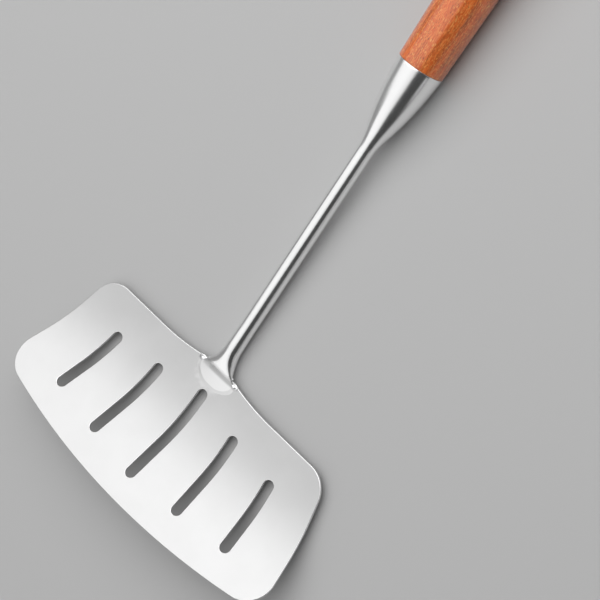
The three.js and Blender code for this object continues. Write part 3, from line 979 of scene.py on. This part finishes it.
@dataclass
class Welds(Assembly):
    """The ground bead round the tongue, the two drops at its shoulders and the bead under the tab."""

    shank: Shank
    width: float = 3.0 * MM
    nose_width: float = 1.8 * MM
    nose_reach: float = 0.8
    end_width: float = 0.4
    end_reach: float = 0.35
    ripple: float = 0.05
    ripple_pitch: float = 1.9
    overlap: float = 0.6 * MM
    sink: float = 0.02 * MM
    slope: tuple[Pair, ...] = ((0.25, 0.67), (0.52, 0.35), (0.78, 0.12))
    steps: int = 26
    drop_half_size: Triple = (2.0 * MM, 1.3 * MM, 1.1 * MM)
    drop_skirt: float = 1.65
    drop_root: float = 0.5
    drop_shift: float = 0.5 * MM
    drop_unevenness: float = 0.15
    under_stretch: Triple = (1.19, 1.13, 1.08)
    under_shift: Triple = (0.0, -0.55 * MM, -0.2 * MM)
    under_rise: float = 1.0 * MM
    under_end: float = 0.04
    under_ripple: float = 0.06
    under_pitch: float = 1.6
    under_steps: int = 40
    under_sides: int = 16

    def build(self) -> None:
        """Makes the four beads and hands them over."""
        bead = drawn_through("tongue_bead", self.tongue_rings())
        self.shop.hand_over(bead, Slot.WELD_STEEL, "tongue_weld", 60.0)
        for side in ("left", "right"):
            self.shoulder(side)
        bead = drawn_through("underside_bead", self.underside_rings())
        self.shop.hand_over(bead, Slot.WELD_STEEL, "underside_weld", place=Matrix.Identity(4))

    def tongue_rings(self) -> list[list[Vector]]:
        """Draws the ground bead's section at places round the tongue's front.

        Returns:
            Rings of seven corners, from the right shoulder round the nose to the left one.
        """
        shank = self.shank
        line = [Vector((shank.tongue_half_width * shank.nose(share),
                        shank.crease - shank.tongue_length * share, 0))
                for share in reversed(shank.nose_shares(self.steps))]
        line += mirrored(line)
        rings = []
        for place, point in enumerate(line):
            run = (line[min(place + 1, len(line) - 1)] - line[max(place - 1, 0)]).normalized()
            out = Vector((-run.y, run.x, 0))
            if out.dot(point - Vector((0, shank.crease, 0))) <= 0:
                out.negate()
            forward = shank.forward(point.y)
            width = blend(self.width, self.nose_width, min(forward / self.nose_reach, 1.0))
            width *= 1 + self.ripple * math.sin(place * self.ripple_pitch)
            width *= blend(self.end_width, 1.0, min(forward / self.end_reach, 1.0))
            high = shank.edge(forward) * shank.thick(forward)
            corners = [(-self.overlap, 0.0), (-self.overlap, high), (0.0, high)]
            corners += [(across * width, up * high) for across, up in self.slope] + [(width, -self.sink)]
            ring = []
            for across, up in corners:
                spot = point + out * across
                ring.append(Vector((spot.x, spot.y, shank.seat(spot.y) - shank.seat_gap + up)))
            rings.append(ring)
        return rings

    def shoulder(self, side: str) -> None:
        """Makes one shoulder bead, a drop on the tongue's corner that flows out into the sheet.

        Args:
            side: The side's name.
        """
        node = f"shoulder_weld_{side}"
        low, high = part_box(node)
        spot = self.shop.blade_place.inverted() @ ((low + high) / 2)
        drop = start(f"shoulder_bead_{side}", bpy.ops.mesh.primitive_uv_sphere_add,
                     segments=14, ring_count=8, radius=1.0)
        with editing(drop):
            pick(drop, Pick.VERTICES, lambda vertex: abs(vertex.co.z) < HAIR)
            bpy.ops.transform.resize(value=(self.drop_skirt, self.drop_skirt, 1.0), center_override=(0, 0, 0))
            pick(drop, Pick.VERTICES, lambda vertex: vertex.co.z < -HAIR)
            bpy.ops.transform.resize(value=(1.0, 1.0, self.drop_root), center_override=(0, 0, 0))
            take_all()
            bpy.ops.transform.vertex_random(offset=self.drop_unevenness, seed=len(side))
        finish_with(drop, "SUBSURF", levels=2, render_levels=2)
        place = self.shop.blade_place @ Matrix.Translation((spot.x, spot.y + self.drop_shift, 0))
        place = place @ Matrix.Diagonal((*self.drop_half_size, 1.0))
        self.shop.hand_over(drop, Slot.WELD_STEEL, node, 90.0, place)

    def underside_rings(self) -> list[list[Vector]]:
        """Draws the bead in the groove between the tab's end and the neck's round underside.

        Returns:
            Rings from the left end to the right one, in place.
        """
        low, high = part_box("underside_weld")
        middle = (low + high) / 2 + Vector(self.under_shift)
        half = (high - low) / 2 * Vector(self.under_stretch)
        rings = []
        for step in range(self.under_steps + 1):
            share = 2 * step / self.under_steps - 1
            ripple = 1 - self.under_ripple + self.under_ripple * math.cos(step * self.under_pitch)
            size = math.sqrt(max(1 - share ** 6, self.under_end)) * ripple
            centre = middle + Vector((share * half.x, 0, self.under_rise * share ** 4))
            rings.append([centre + size * Vector((0, half.y * point.x, half.z * point.y))
                          for point in arc(Vector(), 1.0, 0, math.tau, self.under_sides)[:-1]])
        return rings


# The ferrule and the grip


@dataclass
class Ferrule(Assembly):
    """The flared shell between the shank and the grip."""

    begin: float = 141.0 * MM
    length: float = 51.5 * MM
    begin_radius: float = 4.5 * MM
    mouth_radius: float = 12.6 * MM
    wall: float = 0.9 * MM
    mouth_slope: float = 0.06
    begin_pull: float = 0.23
    end_pull: float = 0.68
    mouth_edge: float = 0.2 * MM
    spigot: float = 8.0 * MM
    spigot_radius: float = 3.3 * MM
    bore_radius: float = 2.4 * MM
    steps: int = 44

    def flare(self) -> Profile:
        """Lists radius and place of the flare's outside, from the shank to the mouth."""
        mouth, pull = self.begin + self.length, self.end_pull * self.length
        return curve(((self.begin_radius, self.begin),
                      (self.begin_radius, self.begin + self.begin_pull * self.length),
                      (self.mouth_radius - self.mouth_slope * pull, mouth - pull),
                      (self.mouth_radius, mouth)), self.steps)

    def build(self) -> None:
        """Turns the shell, rounds its mouth's edges and hands it over."""
        outside = self.flare()
        inside = [(radius - self.wall, along) for radius, along in reversed(outside)]
        spigot_end = self.begin - self.spigot
        profile = [(self.bore_radius, spigot_end), (self.spigot_radius, spigot_end),
                   (self.spigot_radius, self.begin)]
        shell = turned("ferrule_shell", profile + outside + inside + [(self.bore_radius, self.begin)])
        mouth = self.begin + self.length
        with editing(shell):
            pick(shell, Pick.EDGES, lambda edge: all(vertex.co.y > mouth - HAIR for vertex in edge.verts)
                 and abs(edge.verts[0].co.xz.length - edge.verts[1].co.xz.length) < 10 * HAIR)
            bpy.ops.mesh.bevel(offset=self.mouth_edge, segments=3, affect="EDGES")
        self.shop.hand_over(shell, Slot.POLISHED_STEEL, "ferrule")


@dataclass
class Grip(Assembly):
    """The turned wooden grip, with a tenon that follows the ferrule and a spigot for the end cap."""

    flare: Profile
    begin: float = 192.62 * MM
    belly: float = 252.8 * MM
    tail: float = 286.8 * MM
    front_radius: float = 12.6 * MM
    belly_radius: float = 13.8 * MM
    tail_radius: float = 12.8 * MM
    tenon_begin: float = 172.5 * MM
    tenon_gap: float = 1.2 * MM
    spigot_end: float = 294.8 * MM
    spigot_radius: float = 11.5 * MM
    pocket_floor: float = 286.5 * MM
    pocket_radius: float = 6.8 * MM
    hole_radius: float = 3.3 * MM
    edge: float = 0.3 * MM
    edge_angle: float = math.radians(50)
    steps: int = 28

    def swell(self) -> Profile:
        """Lists radius and place of the grip's outside.

        Returns:
            The points of a smooth curve from the ferrule over the belly to the cap.
        """
        front, tail = (self.front_radius, self.begin), (self.tail_radius, self.tail)
        belly = (self.belly_radius, self.belly)

        def pulled(spot: Pair, first: Pair, last: Pair) -> Pair:
            """Moves a point by a sixth of the way between two others."""
            return tuple(spot[k] + (last[k] - first[k]) / 6 for k in range(2))

        rising = curve((front, pulled(front, front, belly), pulled(belly, tail, front), belly), self.steps)
        falling = curve((belly, pulled(belly, front, tail), pulled(tail, tail, belly), tail), self.steps)
        return rising[:-1] + falling

    def build(self) -> None:
        """Turns the grip, breaks its edges and hands it over."""
        tenon = [(radius - self.tenon_gap, along) for radius, along in self.flare if along > self.tenon_begin]
        profile = [(self.hole_radius, self.tenon_begin), (tenon[0][0], self.tenon_begin)] + tenon
        profile += [(tenon[-1][0], self.begin)] + self.swell()
        profile += [(self.spigot_radius, self.tail), (self.spigot_radius, self.spigot_end),
                    (self.pocket_radius, self.spigot_end), (self.pocket_radius, self.pocket_floor),
                    (self.hole_radius, self.pocket_floor)]
        wood = turned("grip_wood", profile)
        finish_with(wood, "BEVEL", width=self.edge, segments=3, limit_method="ANGLE",
                    angle_limit=self.edge_angle, loop_slide=False)
        self.shop.hand_over(wood, Slot.ROSEWOOD, "grip")


# The rod through the grip, and the tail


@dataclass
class GripFixing(Assembly):
    """The rod that pulls the grip into the ferrule, with its disc, washer and nut."""

    rod: Pair = (165.7 * MM, 294.5 * MM)
    rod_radius: float = 3.0 * MM
    disc: Pair = (167.2 * MM, 172.2 * MM)
    washer: Pair = (286.8 * MM, 288.0 * MM)
    washer_radius: float = 6.5 * MM
    washer_edge: float = 0.2 * MM
    nut: Pair = (288.3 * MM, 293.3 * MM)
    nut_across: float = 10.0 * MM
    hole_radius: float = 3.3 * MM
    chamfer: float = 0.5 * MM
    pitch: float = 1.0 * MM
    thread_depth: float = 0.45 * MM
    crest: Pair = (0.1, 0.2)
    root: Pair = (0.6, 0.7)
    front_thread: float = 8.0 * MM
    rear_thread: float = 11.0 * MM

    def build(self) -> None:
        """Makes the four pieces and hands them over."""
        low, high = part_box("anchor_disc")
        made = {"tie_rod": self.threaded(),
                "anchor_disc": self.ring("anchor_disc_plug", self.disc, (high.x - low.x) / 2, self.chamfer),
                "washer": self.ring("washer_ring", self.washer, self.washer_radius, self.washer_edge),
                "nut": self.hexagon()}
        for node, piece in made.items():
            self.shop.hand_over(piece, Slot.PLATED_STEEL, node, 30.0)

    def threaded(self) -> Piece:
        """Turns the rod with a chamfer and a threaded stretch at each end.

        Returns:
            The rod on the axis.
        """
        begin, end = self.rod
        slim = self.rod_radius - self.chamfer
        front, rear = begin + self.chamfer, end - self.chamfer
        profile = [(0.0, begin), (slim, begin), (self.rod_radius, front)]
        for first, last in ((front, front + self.front_thread), (rear - self.rear_thread, rear)):
            for turn in range(int((last - first) / self.pitch)):
                along = first + turn * self.pitch
                profile += [(self.rod_radius, along + share * self.pitch) for share in self.crest]
                profile += [(self.rod_radius - self.thread_depth, along + share * self.pitch)
                            for share in self.root]
        return turned("tie_rod_bar", profile + [(self.rod_radius, rear), (slim, end), (0.0, end)])

    def ring(self, name: str, reach: Pair, radius: float, edge: float) -> Piece:
        """Turns a ring with broken outer edges round the rod's hole.

        Args:
            name: The piece's name.
            reach: Its front and rear.
            radius: Its outer radius.
            edge: The size of its broken edges.

        Returns:
            The ring on the axis.
        """
        begin, end = reach
        return turned(name, [(self.hole_radius, begin), (radius - edge, begin), (radius, begin + edge),
                             (radius, end - edge), (radius - edge, end), (self.hole_radius, end)])

    def hexagon(self) -> Piece:
        """Makes the hexagon nut: a prism trimmed by a chamfered blank.

        Returns:
            The nut on the axis.
        """
        begin, end = self.nut
        flat, corner = self.nut_across / 2, self.nut_across / math.sqrt(3)
        nut = start("hexagon_nut", bpy.ops.mesh.primitive_cylinder_add, vertices=6, radius=corner,
                    depth=end - begin, location=(0, (begin + end) / 2, 0), rotation=(math.pi / 2, 0, 0))
        slope = corner - flat
        blank = turned("nut_blank", [(self.hole_radius, begin - MM), (flat - 2 * slope, begin - MM),
                                     (corner + slope, begin + slope), (corner + slope, end - slope),
                                     (flat - 2 * slope, end + MM), (self.hole_radius, end + MM)])
        finish_with(nut, "BOOLEAN", object=blank, operation="INTERSECT", solver="EXACT")
        bpy.data.objects.remove(blank)
        return nut


@dataclass
class Tail(Assembly):
    """The steel cup over the grip's end and the wire loop on it."""

    cap_begin: float = 287.0 * MM
    cap_end: float = 296.1 * MM
    cap_radius: float = 12.8 * MM
    cap_wall: float = 1.0 * MM
    cap_corner: float = 3.5 * MM
    cap_lip: float = 0.25 * MM
    wire_radius: float = 1.5 * MM
    bow_radius: float = 7.0 * MM
    foot: float = 296.0 * MM
    bow: float = 301.4 * MM
    leg_middle: float = 0.6
    fillet: float = 1.0 * MM
    fillet_steps: int = 8
    fillet_crowding: float = 1.5
    sides: int = 28

    def build(self) -> None:
        """Makes the cap and the loop and hands them over."""
        cap = turned("end_cap_cup", self.cup())
        self.shop.hand_over(cap, Slot.POLISHED_STEEL, "end_cap")
        loop = drawn_through("hanging_bail", self.wire())
        self.shop.hand_over(loop, Slot.POLISHED_STEEL, "hanging_loop", 60.0)

    def cup(self) -> Profile:
        """Draws the cup's profile with a round corner and a soft lip.

        Returns:
            Radius and place of each corner, from the axis to the axis.
        """
        corner = Vector((self.cap_radius - self.cap_corner, self.cap_end - self.cap_corner, 0))
        inner = arc(corner, self.cap_corner - self.cap_wall, math.pi / 2, 0, steps=10)
        outer = arc(corner, self.cap_corner, 0, math.pi / 2, steps=14)
        lip = [(self.cap_radius - self.cap_wall, self.cap_begin),
               (self.cap_radius - self.cap_lip, self.cap_begin),
               (self.cap_radius, self.cap_begin + self.cap_lip)]
        profile = [(0.0, self.cap_end - self.cap_wall)] + [(point.x, point.y) for point in inner] + lip
        return profile + [(point.x, point.y) for point in outer] + [(0.0, self.cap_end)]

    def wire(self) -> list[list[Vector]]:
        """Draws the wire's section along the loop, with a fillet round both feet.

        Returns:
            Rings from one foot over the bow to the other.
        """
        shares = [(step / self.fillet_steps) ** self.fillet_crowding for step in range(self.fillet_steps + 1)]
        rise = [self.foot] + [self.cap_end + self.fillet * share for share in shares]
        rise.append(blend(self.foot, self.bow, self.leg_middle))
        leg = [Vector((self.bow_radius, along, 0)) for along in rise]
        middle = Vector((0, self.bow, 0))
        bow = arc(middle, self.bow_radius, 0, math.pi, steps=36)
        sides = [Vector((1, 0, 0))] * len(leg) + [(point - middle).normalized() for point in bow]
        sides += [Vector((-1, 0, 0))] * len(leg)
        rings = []
        for point, side in zip(leg + bow + mirrored(leg), sides):
            low = self.fillet - min(max(point.y - self.cap_end, 0.0), self.fillet)
            radius = self.wire_radius + self.fillet - math.sqrt(self.fillet ** 2 - low ** 2)
            rings.append([point + side * spot.x + Vector((0, 0, spot.y))
                          for spot in arc(Vector(), radius, 0, math.tau, self.sides)[:-1]])
        return rings


# The studio


@dataclass(frozen=True)
class Lamp:
    """A soft box: a flat lamp that lights and is reflected, and that the camera doesn't see."""

    name: str
    place: Triple
    width: float
    length: float
    glow: float
    toward: Triple = (0.0, 0.0, -1.0)

    def build(self) -> None:
        """Hangs the lamp with the power that gives its glow."""
        data = bpy.data.lights.new(self.name, "AREA")
        data.shape = "RECTANGLE"
        data.size, data.size_y = self.width, self.length
        data.energy = self.glow * math.pi * self.width * self.length
        lamp = bpy.data.objects.new(self.name, data)
        bpy.context.scene.collection.objects.link(lamp)
        facing = Vector(self.toward).to_track_quat("-Z", "Y")
        lamp.matrix_world = Matrix.Translation(self.place) @ facing.to_matrix().to_4x4()
        lamp.visible_camera = False


@dataclass(frozen=True)
class Studio:
    """The pale floor, the soft light and the camera."""

    floor_size: float = 14.0
    floor_colour: float = 0.50
    floor_roughness: float = 0.8
    floor_gloss: float = 0.2
    right_side: Pair = (-0.1, 0.45)
    rear_wall: Pair = (-0.02, 0.16)
    wall_top: Pair = (0.55, 0.75)
    horizon_top: Pair = (0.0, 0.16)
    upper_greys: Pair = (0.27, 0.05)
    horizon_greys: Pair = (0.5, 0.12)
    azimuth: float = math.radians(120.6728)
    elevation: float = math.radians(59.5445)
    roll: float = math.radians(-82.1137)
    distance: float = 1.00749
    target: Triple = (0.01767, -0.05267, 0.01)
    lens: float = 120.0
    sensor: float = 36.0
    lamps: tuple[Lamp, ...] = (
        Lamp("key_box", (-0.09, 0.75, 1.25), 1.42, 1.5, 1.8),
        Lamp("near_box", (-0.69, -0.4, 1.25), 2.62, 0.8, 0.70),
        Lamp("side_box", (-1.3, 0.75, 1.25), 0.9, 1.5, 1.8),
        Lamp("rear_box", (0.1, 2.1, 1.3), 2.4, 1.2, 1.6),
        Lamp("front_panel", (-0.25, -1.05, 0.85), 1.5, 0.94, 0.72, toward=(0.0, 0.848, -0.53)),
        Lamp("edge_strip", (1.3, -0.3, 0.2), 0.4, 0.2, 0.5, toward=(-1.3, 0.0, -0.15)),
    )

    def build(self) -> None:
        """Sets up the floor, the world, the lamps and the camera."""
        bpy.context.scene.view_settings.view_transform = "Standard"
        self.floor()
        self.world()
        for lamp in self.lamps:
            lamp.build()
        self.camera()

    def floor(self) -> None:
        """Lays the floor under the part."""
        floor = start("floor", bpy.ops.mesh.primitive_plane_add, size=self.floor_size)
        made, nodes, _ = fresh_material("pale_floor")
        plain = {"Base Color": self.floor_colour, "Roughness": self.floor_roughness,
                 "Specular IOR Level": self.floor_gloss}
        shader = nodes.add("ShaderNodeBsdfPrincipled", plain)
        nodes.add("ShaderNodeOutputMaterial", {"Surface": shader.outputs["BSDF"]})
        floor.data.materials.append(made)

    def world(self) -> None:
        """Paints the room: pale low down, grey on the left and behind, and dark above the right front."""
        world = bpy.data.worlds.new("studio_room")
        bpy.context.scene.world = world
        world.use_nodes = True
        nodes = Nodes(world.node_tree)
        place = nodes.add("ShaderNodeTexCoord").outputs["Generated"]
        parts = nodes.add("ShaderNodeSeparateXYZ", {"Vector": place}).outputs
        side = nodes.spread(parts["X"], self.right_side)
        behind = nodes.spread(parts["Y"], self.rear_wall)
        wall = nodes.math("MULTIPLY", behind, nodes.spread(parts["Z"], self.wall_top, 1.0, 0.0))
        right = nodes.math("MULTIPLY", side, nodes.math("SUBTRACT", 1.0, wall))
        low = nodes.spread(parts["Z"], self.horizon_top, 1.0, 0.0)
        room = nodes.mix(low, nodes.mix(right, *self.upper_greys), nodes.mix(right, *self.horizon_greys))
        background = nodes.add("ShaderNodeBackground", {"Color": room, "Strength": 1.0})
        nodes.add("ShaderNodeOutputWorld", {"Surface": background.outputs["Background"]})

    def camera(self) -> None:
        """Puts the camera at the photograph's angle."""
        data = bpy.data.cameras.new("camera")
        data.lens = self.lens
        data.sensor_width = self.sensor
        camera = bpy.data.objects.new("camera", data)
        bpy.context.scene.collection.objects.link(camera)
        facing = Matrix.Rotation(self.azimuth, 4, "Z")
        facing = facing @ Matrix.Rotation(math.pi / 2 - self.elevation, 4, "X")
        facing = facing @ Matrix.Rotation(self.roll, 4, "Z")
        back = facing.to_3x3() @ Vector((0, 0, 1))
        camera.matrix_world = Matrix.Translation(Vector(self.target) + back * self.distance) @ facing
        bpy.context.scene.camera = camera


STEELS = {
    Slot.SATIN_STEEL: SheetSteel("satin_steel_sheet", colour=0.58, shade=0.56, roughness=0.42, spread=0.03,
                                 grain=(5 * MM, 0.12 * MM, 0.12 * MM), relief=0.08),
    Slot.WELD_STEEL: Steel("ground_weld", colour=0.88, shade=0.80, roughness=0.36, spread=0.08,
                           grain=(0.35 * MM, 0.35 * MM, 0.35 * MM), relief=0.15,
                           zones=(Zone(0.73, rear=(-0.8 * MM, 1.2 * MM)),)),
    Slot.POLISHED_STEEL: Steel("polished_tube", colour=0.97, shade=0.94, roughness=0.21, spread=0.12,
                               grain=(0.18 * MM, 9 * MM, 0.18 * MM), relief=0.22,
                               zones=(Zone(0.86, rear=(1.0 * MM, 6.0 * MM), roughness=0.10),
                                      # Painted shade: this zone darkens the crease band behind the tongue,
                                      # fading out towards the left.
                                      Zone(0.50, rear=(2.0 * MM, 5.4 * MM), front=(-0.4 * MM, 1.3 * MM),
                                           left=(-10.5 * MM, -3.5 * MM)))),
    Slot.PLATED_STEEL: Steel("plated_fixings", colour=(0.70, 0.71, 0.72), shade=(0.60, 0.61, 0.63),
                             roughness=0.28, spread=0.12, grain=(0.4 * MM, 0.4 * MM, 0.4 * MM), relief=0.15),
}


def main() -> None:
    """Builds the finishes, the pieces from front to tail, and the studio."""
    logging.basicConfig(level=logging.INFO, format="%(message)s")
    axis = Axis()
    place = axis.shank_place()
    grain = grain_group()
    finishes = {slot: steel.material(grain, place) for slot, steel in STEELS.items()}
    finishes[Slot.ROSEWOOD] = Rosewood().material(place)
    shop = Workshop(place, axis.blade_place(), finishes)
    shank, ferrule = Shank(shop), Ferrule(shop)
    assemblies = (Blade(shop), shank, Welds(shop, shank), ferrule, Grip(shop, ferrule.flare()),
                  GripFixing(shop), Tail(shop))
    for assembly in assemblies:
        assembly.build()
    Studio().build()


if __name__ == "__main__":
    main()
